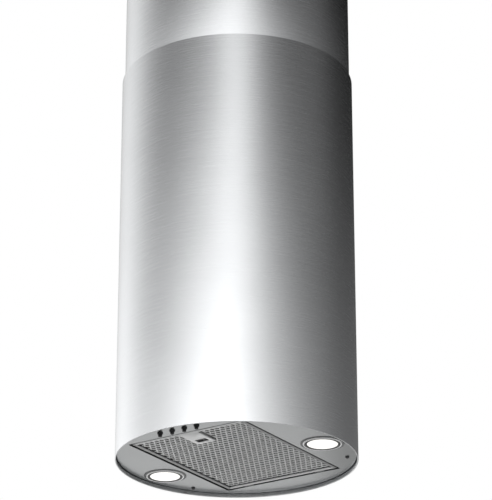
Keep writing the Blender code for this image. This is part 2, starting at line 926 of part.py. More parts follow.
def make_switches():
    low = PANEL_Z + PANEL_T + GAP
    corners = (-0.046, -0.182, low), (0.046, -0.160, low + 0.020)
    block = box("switch_block", *corners, "black_plastic", parent=LOWER)
    collars, bores = [], []
    under = PANEL_Z - 0.0020
    for i in range(4):
        x = button_x(i)
        height = low + 0.002 - under
        collar_at = (x, BUTTON_Y, under + height / 2)
        collars.append(rod(f"collar_{i}", collar_at, COLLAR_OUT_R, height, None, sides=12))
        bores.append(rod(f"bore_{i}", (x, BUTTON_Y, low + 0.002), BUTTON_R + GAP, 0.024, None, sides=12))
        top = low + 0.009
        tip = PANEL_Z - BUTTON_OUT
        axis = empty(f"button_{i + 1}_travel", (x, BUTTON_Y, PANEL_Z))
        turned(
            f"button_{i + 1}",
            [(0, top), (BUTTON_R, top), (BUTTON_R, tip + 0.0008), (BUTTON_R - 0.0008, tip), (0, tip)],
            "black_plastic",
            closed=False,
            sides=12,
            location=(x, BUTTON_Y, 0),
            parent=axis,
        )
    boolean(block, collars, "UNION")
    boolean(block, bores)


# ---------------------------------------------------------------- grease filter
def make_filter_frame():
    low, high = FILTER_Z, FILTER_Z + FILTER_H
    corners = (-FILTER_HALF_X, FILTER_FRONT_Y), (FILTER_HALF_X, FILTER_REAR_Y)

    def inset(by):
        return rectangle((corners[0][0] + by, corners[0][1] + by), (corners[1][0] - by, corners[1][1] - by))

    frame = outline("filter_frame", [inset(0), inset(RAIL_W)], low, high, "aluminium", parent=FILTER_AXIS)
    groove = outline("filter_groove", [inset(MESH_EDGE - GAP)], low + RAIL_LIP, high - RAIL_LIP, None)
    passage = box(
        "slider_passage",
        (LATCH_X - SLIDER_W / 2 - GAP, FILTER_FRONT_Y - 0.01, SLIDER_LOW - GAP),
        (LATCH_X + SLIDER_W / 2 + GAP, FILTER_FRONT_Y + RAIL_W + 0.01, SLIDER_HIGH + GAP),
        None,
    )
    boolean(frame, [groove, passage])


def make_filter_meshes():
    """Three flat sheets between the rails, with a notch at the front for the latch."""
    edge = MESH_EDGE
    low = (-FILTER_HALF_X + edge, FILTER_FRONT_Y + edge)
    high = (FILTER_HALF_X - edge, FILTER_REAR_Y - edge)
    notch = (LATCH_X - LATCH_W / 2 - 0.0015, LATCH_X + LATCH_W / 2 + LATCH_SLOT_W + 0.001)
    notch_y = FILTER_FRONT_Y + RAIL_W + LATCH_L + 0.001
    shape = [
        (low[0], low[1]),
        (notch[0], low[1]),
        (notch[0], notch_y),
        (notch[1], notch_y),
        (notch[1], low[1]),
        (high[0], low[1]),
        (high[0], high[1]),
        (low[0], high[1]),
    ]
    bottom = FILTER_Z + RAIL_LIP + GAP
    for name, start, thick in MESH_LAYERS:
        outline(name, [shape], bottom + start, bottom + start + thick, "aluminium", parent=FILTER_AXIS)


def make_latch():
    low = FILTER_Z
    front = FILTER_FRONT_Y + RAIL_W + GAP
    rear = front + LATCH_L - GAP
    left, right = LATCH_X - LATCH_W / 2, LATCH_X + LATCH_W / 2
    half_hole_x, half_hole_y = FINGER_HOLE[0] / 2, FINGER_HOLE[1] / 2
    hole_y = front + FINGER_HOLE_IN
    finger = rectangle(
        (LATCH_X - half_hole_x, hole_y - half_hole_y),
        (LATCH_X + half_hole_x, hole_y + half_hole_y),
        0.002,
        2,
    )
    loops = [rectangle((left, front), (right, rear)), finger]
    plate = outline("latch_plate", loops, low, low + LATCH_SHEET_T, "aluminium", parent=FILTER_AXIS)
    wall_low, wall_high = low + LATCH_SHEET_T / 2, FILTER_Z + FILTER_H - 0.001
    back = box("latch_back_wall", (left, rear - LATCH_SHEET_T, wall_low), (right, rear, wall_high), None)
    sides = [
        box(
            f"latch_side_wall_{x:.3f}",
            (x, front, wall_low),
            (x + LATCH_SHEET_T, rear - LATCH_SHEET_T / 2, wall_high),
            None,
        )
        for x in (left, right - LATCH_SHEET_T)
    ]
    boolean(plate, [back, *sides], "UNION")
    slider_front = FILTER_FRONT_Y - FILTER_GAP + TONGUE_CLEAR
    slider_rear = rear - LATCH_SHEET_T - SPRING_ROOM
    slider = box(
        "latch_slider",
        (LATCH_X - SLIDER_W / 2, slider_front, SLIDER_LOW),
        (LATCH_X + SLIDER_W / 2, slider_rear, SLIDER_HIGH),
        "black_plastic",
        parent=LATCH_AXIS,
    )
    pull = stadium(0.0150, 0.0045, (LATCH_X, hole_y - 0.0030))
    grip = outline("slider_grip", [pull], low + 0.0002, SLIDER_LOW + 0.001, None)
    boolean(slider, [grip], "UNION")
    centre = (SLIDER_LOW + SLIDER_HIGH) / 2
    start = slider_rear + GAP + SPRING_WIRE_R
    end = rear - LATCH_SHEET_T - GAP - SPRING_WIRE_R
    curve = bpy.data.curves.new("latch_spring", "CURVE")
    curve.dimensions = "3D"
    curve.bevel_depth = SPRING_WIRE_R
    curve.bevel_resolution = 1
    curve.use_fill_caps = True
    spline = curve.splines.new("POLY")
    count = SPRING_TURNS * 7 + 1
    spline.points.add(count - 1)
    for i, point in enumerate(spline.points):
        angle = 2 * math.pi * SPRING_TURNS * i / (count - 1)
        y = start + (end - start) * i / (count - 1)
        point.co = (LATCH_X + SPRING_R * math.cos(angle), y, centre + SPRING_R * math.sin(angle), 1)
    place(bpy.data.objects.new("latch_spring", curve), "chrome", parent=FILTER_AXIS)


def make_filter_tabs():
    """Riveted tabs on the rear rail, which rest on the panel's edge and let the filter swing down."""
    bottom = PANEL_Z + PANEL_T + 2 * GAP
    top = FILTER_Z + FILTER_H + GAP
    inner_y, bend_y, outer_y = FILTER_REAR_Y - 0.008, FILTER_REAR_Y + 0.0004, FILTER_REAR_Y + 0.008
    section = [
        (inner_y, top),
        (bend_y, top),
        (bend_y, bottom),
        (outer_y, bottom),
        (outer_y, bottom + TAB_T),
        (bend_y + TAB_T, bottom + TAB_T),
        (bend_y + TAB_T, top + TAB_T),
        (inner_y, top + TAB_T),
    ]
    for side, word in ((-1, "left"), (1, "right")):
        low, high = side * TAB_X - TAB_HALF_W, side * TAB_X + TAB_HALF_W
        outline(f"filter_tab_{word}", [section], low, high, "aluminium", ALONG_X, parent=FILTER_AXIS)


# ---------------------------------------------------------------- build
clear_scene()
PARTS = collection("island_range_hood")
CUTTERS = collection("cutters", hidden=True)
LOWER = empty("lower_unit_slide", (0, 0, STEP_Z))
FILTER_AXIS = empty("filter_hinge_axis", (0, FILTER_REAR_Y + FILTER_GAP, PANEL_Z + PANEL_T / 2))
LATCH_AXIS = empty("latch_travel", (LATCH_X, FILTER_FRONT_Y, SLIDER_LOW))
IMPELLER_AXIS = empty("impeller_axis", (0, SCROLL_Y, SCROLL_Z))
FLAP_AXES = {word: empty(f"flap_axis_{word}", (0, 0, FLAP_Z)) for word in ("front", "rear")}

make_ceiling_plate()
make_upper_tube()
make_posts()
make_lower_shell()
make_support_plate()
make_hangers()
make_blower_housing()
make_motor()
make_impeller()
make_outlet()
make_flaps()
make_electrics()
make_base_panel()
make_panel_fixings()
make_lamps()
make_switches()
make_filter_frame()
make_filter_meshes()
make_latch()
make_filter_tabs()
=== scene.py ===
import json
import math

import bmesh
import bpy
from mathutils import Matrix, Vector


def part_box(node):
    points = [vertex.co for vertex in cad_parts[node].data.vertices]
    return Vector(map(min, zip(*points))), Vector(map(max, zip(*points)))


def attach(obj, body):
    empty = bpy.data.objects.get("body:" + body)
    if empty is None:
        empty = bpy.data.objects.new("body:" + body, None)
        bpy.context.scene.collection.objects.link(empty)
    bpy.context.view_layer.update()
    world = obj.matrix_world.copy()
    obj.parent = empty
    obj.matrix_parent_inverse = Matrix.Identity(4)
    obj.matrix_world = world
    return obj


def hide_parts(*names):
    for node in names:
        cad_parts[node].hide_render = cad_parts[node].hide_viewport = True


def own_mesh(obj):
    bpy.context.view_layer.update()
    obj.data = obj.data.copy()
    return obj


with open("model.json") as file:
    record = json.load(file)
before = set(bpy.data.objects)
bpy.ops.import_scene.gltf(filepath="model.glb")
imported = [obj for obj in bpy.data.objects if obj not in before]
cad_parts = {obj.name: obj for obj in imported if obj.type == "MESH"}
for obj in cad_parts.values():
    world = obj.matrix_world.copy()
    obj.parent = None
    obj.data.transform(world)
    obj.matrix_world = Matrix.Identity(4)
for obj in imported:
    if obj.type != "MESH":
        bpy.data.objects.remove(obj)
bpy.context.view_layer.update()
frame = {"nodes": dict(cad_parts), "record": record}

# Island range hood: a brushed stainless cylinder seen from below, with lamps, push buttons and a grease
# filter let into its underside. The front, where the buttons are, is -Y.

scene = bpy.context.scene

# ---------------------------------------------------------------- places, from the frame
SHELL_LOW, SHELL_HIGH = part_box("lower_shell")
TUBE_LOW, TUBE_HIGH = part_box("upper_tube")
PANEL_LOW, PANEL_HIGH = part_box("base_panel")
FILTER_LOW, FILTER_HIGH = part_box("filter_frame")
RAIL_W = 0.0055
SUPPORT_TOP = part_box("support_plate")[1].z
SHELL_R = SHELL_HIGH.x
RIM_Z = SHELL_LOW.z
TUBE_R = TUBE_HIGH.x
PANEL_R = PANEL_HIGH.x
PANEL_Z = PANEL_LOW.z
SHEET_T = 0.001
FILTER_GAP = 0.0044  # from the filter's rails to the panel's edge
SHELL_SIDES = 288
ROUND_SIDES = 96

# ---------------------------------------------------------------- camera
CAMERA_AZIMUTH = math.radians(33.4)
CAMERA_PITCH = math.radians(23.01)
CAMERA_YAW = math.radians(-0.222)
CAMERA_DISTANCE = 19.828 * SHELL_R
CAMERA_DROP = 6.536 * SHELL_R
CAMERA_LENS = 182.5


def make_camera():
    data = bpy.data.cameras.new("photo_camera")
    data.lens = CAMERA_LENS
    data.sensor_width = 36
    data.clip_end = 400
    camera = bpy.data.objects.new("photo_camera", data)
    scene.collection.objects.link(camera)
    camera.location = (
        CAMERA_DISTANCE * math.sin(CAMERA_AZIMUTH),
        -CAMERA_DISTANCE * math.cos(CAMERA_AZIMUTH),
        RIM_Z - CAMERA_DROP,
    )
    camera.rotation_euler = (math.pi / 2 + CAMERA_PITCH, 0, CAMERA_AZIMUTH + CAMERA_YAW)
    scene.camera = camera


# ---------------------------------------------------------------- shader nodes
class Nodes:
    """Short calls for making and linking shader nodes."""

    def __init__(self, tree):
        self.tree = tree

    def add(self, kind, **values):
        node = self.tree.nodes.new(kind)
        for name, value in values.items():
            setattr(node, name, value)
        return node

    def link(self, source, target):
        self.tree.links.new(source, target)

    def put(self, socket, value):
        if isinstance(value, bpy.types.NodeSocket):
            self.link(value, socket)
        else:
            socket.default_value = value

    def math(self, operation, *values, clamp=False):
        node = self.add("ShaderNodeMath", operation=operation, use_clamp=clamp)
        for socket, value in zip(node.inputs, values):
            self.put(socket, value)
        return node.outputs[0]

    def range(self, value, low, high, to_low, to_high, kind="LINEAR"):
        node = self.add("ShaderNodeMapRange", interpolation_type=kind)
        for socket, given in zip(node.inputs, (value, low, high, to_low, to_high)):
            self.put(socket, given)
        return node.outputs[0]

    def mix(self, factor, first, second, blend="MIX"):
        node = self.add("ShaderNodeMix", data_type="RGBA", blend_type=blend)
        self.put(node.inputs["Factor"], factor)
        self.put(node.inputs[6], first)
        self.put(node.inputs[7], second)
        return node.outputs[2]

    def noise(self, vector, scale, detail=2.0, rough=0.5):
        node = self.add("ShaderNodeTexNoise")
        self.link(vector, node.inputs["Vector"])
        node.inputs["Scale"].default_value = scale
        node.inputs["Detail"].default_value = detail
        node.inputs["Roughness"].default_value = rough
        return node.outputs["Fac"]

    def stretch(self, vector, scale):
        node = self.add("ShaderNodeMapping")
        self.link(vector, node.inputs["Vector"])
        node.inputs["Scale"].default_value = scale
        return node.outputs["Vector"]

    def bump(self, height, strength, distance):
        node = self.add("ShaderNodeBump")
        node.inputs["Strength"].default_value = strength
        node.inputs["Distance"].default_value = distance
        self.link(height, node.inputs["Height"])
        return node.outputs["Normal"]


def new_material(name, color, rough, metallic):
    made = bpy.data.materials.new(name)
    made.use_nodes = True
    nodes = Nodes(made.node_tree)
    shader = made.node_tree.nodes["Principled BSDF"]
    shader.inputs["Base Color"].default_value = (*color, 1)
    shader.inputs["Roughness"].default_value = rough
    shader.inputs["Metallic"].default_value = metallic
    place = nodes.add("ShaderNodeTexCoord").outputs["Object"]
    return made, nodes, shader, place


def shade(color, factor):
    return (*(min(1.0, c * factor) for c in color), 1)


def brushed(name, color, rough, grain, around=False, anisotropy=0.0, relief=0.05):
    """Brushed sheet. grain is the noise's scale along X, Y and Z, small along the brush lines. around
    wraps it round the Z axis, with its join at the rear."""
    made, nodes, shader, place = new_material(name, color, rough, 1.0)
    if around:
        split = nodes.add("ShaderNodeSeparateXYZ")
        nodes.link(place, split.inputs[0])
        angle = nodes.math("ARCTAN2", split.outputs["X"], nodes.math("MULTIPLY", split.outputs["Y"], -1.0))
        unrolled = nodes.add("ShaderNodeCombineXYZ")
        nodes.link(nodes.math("MULTIPLY", angle, SHELL_R), unrolled.inputs["X"])
        nodes.link(split.outputs["Z"], unrolled.inputs["Z"])
        place = unrolled.outputs[0]
        tangent = nodes.add("ShaderNodeTangent", direction_type="RADIAL", axis="Z")
        nodes.link(tangent.outputs[0], shader.inputs["Tangent"])
        shader.inputs["Anisotropic Rotation"].default_value = 0.25
    shader.inputs["Anisotropic"].default_value = anisotropy
    lines = nodes.noise(nodes.stretch(place, grain), 1.0, 4.0, 0.6)
    fine = nodes.noise(nodes.stretch(place, tuple(3.1 * g for g in grain)), 1.0, 3.0, 0.6)
    cloud = nodes.noise(place, 9.0, 3.0)
    tone = nodes.math("ADD", nodes.math("MULTIPLY", lines, 0.6), nodes.math("MULTIPLY", fine, 0.4))
    tinted = nodes.mix(nodes.range(tone, 0.3, 0.7, 0.0, 1.0), shade(color, 0.955), shade(color, 1.035))
    smudge = nodes.range(cloud, 0.40, 0.70, 0.0, 0.6)
    nodes.link(nodes.mix(smudge, tinted, shade(color, 0.93)), shader.inputs["Base Color"])
    nodes.link(nodes.range(tone, 0.3, 0.7, rough - 0.03, rough + 0.03), shader.inputs["Roughness"])
    nodes.link(nodes.bump(tone, relief, 0.0002), shader.inputs["Normal"])
    return made


def rail_metal(name, color, rough, side_shade_tone):
    """Satin sheet whose left and right rails, which lie across its grain, have painted shade: their base
    colour is darker than the other two, as if in shadow.
    """
    made = brushed(name, color, rough, (900, 14, 900))
    nodes = Nodes(made.node_tree)
    base = made.node_tree.nodes["Principled BSDF"].inputs["Base Color"]
    plain = base.links[0].from_socket
    split = nodes.add("ShaderNodeSeparateXYZ")
    nodes.link(nodes.add("ShaderNodeTexCoord").outputs["Object"], split.inputs[0])
    edge = FILTER_HIGH.x - RAIL_W
    # painted shade: this mask darkens the left and right rails
    side = nodes.range(nodes.math("ABSOLUTE", split.outputs["X"]), edge - 0.0003, edge + 0.0003, 0.0, 1.0)
    nodes.link(nodes.mix(side, plain, shade(color, side_shade_tone)), base)
    return made


def plated(name, color, rough):
    """Bright plated metal, with faint polishing swirls and a few specks of dust."""
    made, nodes, shader, place = new_material(name, color, rough, 1.0)
    swirl = nodes.noise(place, 260.0, 4.0, 0.6)
    speck = nodes.noise(place, 1400.0, 2.0)
    nodes.link(nodes.range(swirl, 0.3, 0.7, rough * 0.7, rough * 1.5), shader.inputs["Roughness"])
    dusty = nodes.range(speck, 0.62, 0.75, 0.0, 0.25)
    nodes.link(nodes.mix(dusty, (*color, 1), shade(color, 0.7)), shader.inputs["Base Color"])
    nodes.link(nodes.bump(swirl, 0.05, 0.0002), shader.inputs["Normal"])
    return made


def galvanised(name, color, rough):
    """Zinc-coated sheet: crystal patches that differ a little in tone and gloss."""
    made, nodes, shader, place = new_material(name, color, rough, 1.0)
    cells = nodes.add("ShaderNodeTexVoronoi")
    nodes.link(place, cells.inputs["Vector"])
    cells.inputs["Scale"].default_value = 95.0
    patch = nodes.math("FRACT", nodes.math("MULTIPLY", cells.outputs["Color"], 7.0))
    grime = nodes.noise(place, 14.0, 4.0)
    toned = nodes.mix(patch, shade(color, 0.82), shade(color, 1.05))
    dulled = nodes.mix(nodes.range(grime, 0.45, 0.7, 0.0, 0.35), toned, shade(color, 0.6))
    nodes.link(dulled, shader.inputs["Base Color"])
    nodes.link(nodes.range(patch, 0.0, 1.0, rough - 0.08, rough + 0.08), shader.inputs["Roughness"])
    nodes.link(nodes.bump(nodes.noise(place, 500.0, 3.0), 0.08, 0.0003), shader.inputs["Normal"])
    return made


def moulded(name, color, rough):
    """Moulded plastic: a fine spark-eroded texture and slight differences in tone."""
    made, nodes, shader, place = new_material(name, color, rough, 0.0)
    grain = nodes.noise(place, 1500.0, 2.0)
    cloud = nodes.noise(place, 22.0, 3.0)
    toned = nodes.mix(nodes.range(cloud, 0.35, 0.65, 0.0, 1.0), shade(color, 0.88), shade(color, 1.1))
    nodes.link(toned, shader.inputs["Base Color"])
    nodes.link(nodes.range(grain, 0.35, 0.65, rough - 0.07, rough + 0.07), shader.inputs["Roughness"])
    nodes.link(nodes.bump(grain, 0.12, 0.0002), shader.inputs["Normal"])
    return made


def lamp_front(name):
    """A lit lamp's frosted front glass, glowing brightest at the middle of each faint facet of the
    reflector.
    """
    made, nodes, shader, place = new_material(name, (0.30, 0.30, 0.30), 0.25, 0.0)
    facets = nodes.add("ShaderNodeTexVoronoi")
    nodes.link(place, facets.inputs["Vector"])
    facets.inputs["Scale"].default_value = 230.0
    sparkle = nodes.range(facets.outputs["Distance"], 0.0, 0.8, 1.1, 0.86)
    shader.inputs["Emission Color"].default_value = (1.0, 0.985, 0.95, 1)
    nodes.link(sparkle, shader.inputs["Emission Strength"])
    nodes.link(nodes.bump(facets.outputs["Distance"], 0.2, 0.0004), shader.inputs["Normal"])
    return made


STEEL = (0.63, 0.64, 0.65)
ALUMINIUM = (0.74, 0.745, 0.75)


def make_materials():
    return {
        "shell": brushed("brushed_shell", STEEL, 0.26, (6, 6, 1500), True, 0.35, 0.010),
        "panel": brushed("brushed_panel", (0.41, 0.42, 0.425), 0.24, (12, 900, 900)),
        "stainless": brushed("brushed_inner", STEEL, 0.34, (12, 900, 900)),
        "aluminium": brushed("satin_aluminium", ALUMINIUM, 0.33, (900, 14, 900)),
        # painted shade: the left and right rails are darkened to 0.54 of this colour
        "rail": rail_metal("rail_aluminium_shaded_sides", ALUMINIUM, 0.33, 0.54),
        "mesh": brushed("mesh_aluminium", (0.86, 0.865, 0.87), 0.34, (300, 300, 300)),
        "mesh_core": brushed("shaded_aluminium", (0.38, 0.38, 0.385), 0.5, (300, 300, 300)),
        "zinc": galvanised("galvanised_sheet", (0.62, 0.63, 0.64), 0.42),
        "chrome": plated("bright_plate", (0.86, 0.86, 0.87), 0.12),
        "dark_steel": plated("black_oxide", (0.10, 0.10, 0.105), 0.36),
        "black_plastic": moulded("black_plastic", (0.020, 0.020, 0.022), 0.42),
        "grey_plastic": moulded("grey_plastic", (0.20, 0.205, 0.21), 0.50),
        "white_plastic": moulded("white_plastic", (0.72, 0.72, 0.70), 0.42),
        "glass": lamp_front("lit_lamp_front"),
    }


# ---------------------------------------------------------------- mesh helpers
SHARP_ANGLE = math.radians(35)


def realise(obj):
    """Applies the object's modifiers and shades it smooth between its sharp edges."""
    bpy.context.view_layer.update()
    evaluated = obj.evaluated_get(bpy.context.evaluated_depsgraph_get())
    mesh = bpy.data.meshes.new_from_object(evaluated)
    obj.modifiers.clear()
    obj.data = mesh
    mesh.name = obj.name
    mesh.shade_smooth()
    mesh.set_sharp_from_angle(angle=SHARP_ANGLE)
    return obj


def link_object(name, data):
    obj = bpy.data.objects.new(name, data)
    scene.collection.objects.link(obj)
    return obj


def rounded(points, radius, steps=3, closed=True):
    """The outline with each of its corners rounded off."""
    made = []
    for i, point in enumerate(points):
        if not closed and i in (0, len(points) - 1):
            made.append(tuple(point))
            continue
        here = Vector(point)
        before = Vector(points[i - 1]) - here
        after = Vector(points[(i + 1) % len(points)]) - here
        reach = min(radius, 0.45 * before.length, 0.45 * after.length)
        first = here + before.normalized() * reach
        last = here + after.normalized() * reach
        for j in range(steps + 1):
            t = j / steps
            made.append(tuple((1 - t) ** 2 * first + 2 * t * (1 - t) * here + t * t * last))
    return made


def lathe(name, profile, sides=ROUND_SIDES, closed=True, at=(0, 0, 0)):
    """Turns an (r, z) profile, which runs down its outer side first, about Z."""
    mesh = bpy.data.meshes.new(name)
    edges = [(i, i + 1) for i in range(len(profile) - 1)]
    if closed:
        edges.append((len(profile) - 1, 0))
    mesh.from_pydata([(r, 0, z) for r, z in profile], edges, [])
    obj = link_object(name, mesh)
    screw = obj.modifiers.new("Turn", "SCREW")
    screw.steps = screw.render_steps = sides
    screw.use_merge_vertices = True
    screw.merge_threshold = 0.000001
    realise(obj)
    obj.data.transform(Matrix.Translation(at))
    return obj


def sheet(name, loops, low_z, high_z, bevel=0.0, segments=2, turn=None):
    """A flat outline with its holes, given its thickness in Z."""
    curve = bpy.data.curves.new(name, "CURVE")
    curve.dimensions = "2D"
    curve.fill_mode = "BOTH"
    curve.extrude = (high_z - low_z) / 2
    for loop in loops:
        spline = curve.splines.new("POLY")
        spline.points.add(len(loop) - 1)
        for point, (x, y) in zip(spline.points, loop):
            point.co = (x, y, 0, 1)
        spline.use_cyclic_u = True
    source = link_object(name + "_outline", curve)
    bpy.context.view_layer.update()
    evaluated = source.evaluated_get(bpy.context.evaluated_depsgraph_get())
    bm = bmesh.new()
    bm.from_mesh(evaluated.to_mesh())
    evaluated.to_mesh_clear()
    bmesh.ops.remove_doubles(bm, verts=bm.verts, dist=0.000005)
    bmesh.ops.translate(bm, verts=bm.verts, vec=(0, 0, (low_z + high_z) / 2))
    bmesh.ops.dissolve_limit(bm, angle_limit=0.001, verts=bm.verts, edges=bm.edges)
    bmesh.ops.recalc_face_normals(bm, faces=bm.faces)
    mesh = bpy.data.meshes.new(name)
    bm.to_mesh(mesh)
    bm.free()
    bpy.data.objects.remove(source)
    obj = link_object(name, mesh)
    soften(obj, bevel, segments)
    if turn is not None:
        obj.data.transform(turn)
    return obj


def soften(obj, bevel, segments=2):
    if bevel:
        modifier = obj.modifiers.new("Bevel", "BEVEL")
        modifier.width = bevel
        modifier.segments = segments
        modifier.limit_method = "ANGLE"
        modifier.angle_limit = math.radians(40)
        modifier.use_clamp_overlap = True
    realise(obj)
    return obj


def block(name, low, high, bevel=0.0, segments=2):
    low, high = Vector(low), Vector(high)
    bm = bmesh.new()
    size = Matrix.Diagonal((*(high - low), 1.0))
    bmesh.ops.create_cube(bm, size=1.0, matrix=Matrix.Translation((low + high) / 2) @ size)
    mesh = bpy.data.meshes.new(name)
    bm.to_mesh(mesh)
    bm.free()
    return soften(link_object(name, mesh), bevel, segments)


def joined(name, objects):
    """One object from several."""
    bm = bmesh.new()
    for obj in objects:
        piece = obj.data.copy()
        piece.transform(obj.matrix_world)
        bm.from_mesh(piece)
        bpy.data.meshes.remove(piece)
        bpy.data.objects.remove(obj)
    mesh = bpy.data.meshes.new(name)
    bm.to_mesh(mesh)
    bm.free()
    return link_object(name, mesh)


def cut(obj, cutters):
    for cutter in cutters:
        modifier = obj.modifiers.new("Cut", "BOOLEAN")
        modifier.operation = "DIFFERENCE"
        modifier.solver = "EXACT"
        modifier.object = cutter
    realise(obj)
    for cutter in cutters:
        bpy.data.objects.remove(cutter)
    return obj


def dress(obj, body, material, slot, *nodes):
    """Gives a piece its material, puts it on its body and lets it stand for its CAD nodes."""
    obj.data.materials.clear()
    obj.data.materials.append(material)
    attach(obj, body)
    if nodes:
        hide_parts(*nodes)
    return obj


def circle(radius, sides=ROUND_SIDES, centre=(0, 0), start=0.0, turn=2 * math.pi):
    count = sides if turn >= 2 * math.pi else sides + 1
    angles = [start + turn * i / sides for i in range(count)]
    return [(centre[0] + radius * math.cos(a), centre[1] + radius * math.sin(a)) for a in angles]


def rectangle(low, high, corner=0.0, steps=4):
    points = [(high[0], high[1]), (low[0], high[1]), (low[0], low[1]), (high[0], low[1])]
    return rounded(points, corner, steps) if corner else points


def stadium(length, width, centre, steps=10):
    half = (length - width) / 2
    right = circle(width / 2, steps, (centre[0] + half, centre[1]), -math.pi / 2, math.pi)
    left = circle(width / 2, steps, (centre[0] - half, centre[1]), math.pi / 2, math.pi)
    return right + left


def middle(node):
    low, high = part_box(node)
    return (low + high) / 2


# ---------------------------------------------------------------- shells
SEAM_WIDTH = 0.0010
SEAM_DEPTH = 0.00018
CUT_PAST = 0.01  # how far a cutter goes past what it cuts


def make_shells(mats):
    ease = 0.00035
    inner = TUBE_R - SHEET_T
    profile = [(TUBE_R, TUBE_HIGH.z), (TUBE_R, TUBE_LOW.z), (inner, TUBE_LOW.z), (inner, TUBE_HIGH.z)]
    tube = lathe("upper_tube_sheet", rounded(profile, ease, 3), SHELL_SIDES)
    cut_seam(tube, TUBE_R, TUBE_LOW.z, TUBE_HIGH.z)
    dress(tube, "ceiling_frame", mats["shell"], "stainless", "upper_tube")

    inner = SHELL_R - SHEET_T
    hem_r = SHELL_R - 0.0021
    hem_z = RIM_Z + 0.0095
    profile = [(SHELL_R, SHELL_HIGH.z), (SHELL_R, RIM_Z), (hem_r, RIM_Z), (hem_r, hem_z)]
    rolled = rounded(profile, 0.0010, 5, closed=False)[1:]
    folded = [(hem_r + 0.0008, hem_z + 0.0003), (inner, hem_z + 0.0002)]
    profile = [(SHELL_R, SHELL_HIGH.z - ease), *rolled, *folded, (inner, SHELL_HIGH.z)]
    profile = rounded(profile, ease, 1, closed=False)
    profile.append((SHELL_R - ease, SHELL_HIGH.z))
    shell = lathe("lower_shell_sheet", profile, SHELL_SIDES)
    cut_seam(shell, SHELL_R, RIM_Z, SHELL_HIGH.z)
    dress(shell, "lower_unit", mats["shell"], "stainless", "lower_shell")


def cut_seam(shell, radius, low_z, high_z):
    """The flattened weld down the rear of a shell, a shallow dressed line."""
    half = SEAM_WIDTH / 2
    low = (-half, radius - SEAM_DEPTH, low_z - CUT_PAST)
    high = (half, radius + CUT_PAST, high_z + CUT_PAST)
    cut(shell, [block("seam", low, high)])


# ---------------------------------------------------------------- underside panel
COLLAR_R = 0.0046
LAMP_HOLE_R = 0.0286
PANEL_SCREW_HOLE_R = 0.0023
RETURN_T = 0.0008  # the sheet turned up along the opening's left and right
RETURN_H = 0.0075


def lamp_places():
    return [(side, middle(f"lamp_ring_{side}")) for side in ("left", "right")]


def button_places():
    return [(f"button_{i}", middle(f"button_{i}")) for i in range(1, 5)]


def make_panel(mats):
    corner = 0.0022
    opening = rectangle(
        (FILTER_LOW.x - FILTER_GAP, FILTER_LOW.y - FILTER_GAP),
        (FILTER_HIGH.x + FILTER_GAP, FILTER_HIGH.y + FILTER_GAP),
        corner,
    )
    bend = 0.0014
    flat_r = PANEL_R - bend
    top = PANEL_Z + SHEET_T
    holes = [opening]
    for _, place in lamp_places():
        holes.append(circle(LAMP_HOLE_R, 64, (place.x, place.y)))
    for _, place in button_places():
        holes.append(circle(COLLAR_R + 0.0003, 32, (place.x, place.y)))
    for side in ("left", "right"):
        place = middle(f"panel_screw_{side}")
        holes.append(circle(PANEL_SCREW_HOLE_R, 16, (place.x, place.y)))
    flat = sheet("panel_flat", [circle(flat_r, SHELL_SIDES), *holes], PANEL_Z, top)
    edge = PANEL_HIGH.z
    inner = PANEL_R - SHEET_T
    arc = [(math.sin(math.pi / 2 * i / 8), 1 - math.cos(math.pi / 2 * i / 8)) for i in range(9)]
    outside = [(flat_r + bend * s, PANEL_Z + bend * c) for s, c in arc]
    inside = [(flat_r + (bend - SHEET_T) * s, top + (bend - SHEET_T) * c) for s, c in arc]
    turned_edge = lathe("panel_edge", [(inner, edge), (PANEL_R, edge), *outside[::-1], *inside], SHELL_SIDES)
    returns = []
    for side in (-1, 1):
        edge_x = FILTER_HIGH.x + FILTER_GAP
        faces = sorted((side * edge_x, side * (edge_x + RETURN_T)))
        low = (faces[0], FILTER_LOW.y - 0.0020, PANEL_Z + 0.0003)
        high = (faces[1], FILTER_HIGH.y + 0.0020, PANEL_Z + RETURN_H)
        returns.append(block(f"panel_return_{side}", low, high, 0.0002))
    panel = joined("base_panel_sheet", [flat, turned_edge, *returns])
    panel.data.shade_smooth()
    panel.data.set_sharp_from_angle(angle=SHARP_ANGLE)
    dress(panel, "lower_unit", mats["panel"], "stainless", "base_panel")


def cross_recess(name, at_z, depth, size, at):
    arms = [
        block(f"{name}_a", (-size, -size * 0.28, at_z - depth), (size, size * 0.28, at_z + depth)),
        block(f"{name}_b", (-size * 0.28, -size, at_z - depth), (size * 0.28, size, at_z + depth)),
    ]
    for arm in arms:
        arm.data.transform(Matrix.Translation(at))
    return arms


def make_panel_screws(mats):
    for side in ("left", "right"):
        node = f"panel_screw_{side}"
        low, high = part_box(node)
        place = (low + high) / 2
        head_r = (high.x - low.x) / 2
        head_h = 0.0020
        profile = [
            (0, head_h + 0.004),
            (0.0016, head_h + 0.004),
            (0.0016, head_h),
            (head_r, head_h),
            (head_r, head_h * 0.7),
            (head_r * 0.86, head_h * 0.28),
            (head_r * 0.5, 0.00008),
            (0, 0),
        ]
        at = (place.x, place.y, low.z)
        screw = lathe(f"panel_screw_{side}_head", rounded(profile, 0.0003, 2, closed=False), 32, False, at)
        cut(screw, cross_recess("recess", low.z, 0.0012, head_r * 0.55, (place.x, place.y, 0)))
        dress(screw, "lower_unit", mats["dark_steel"], "dark_steel", node)


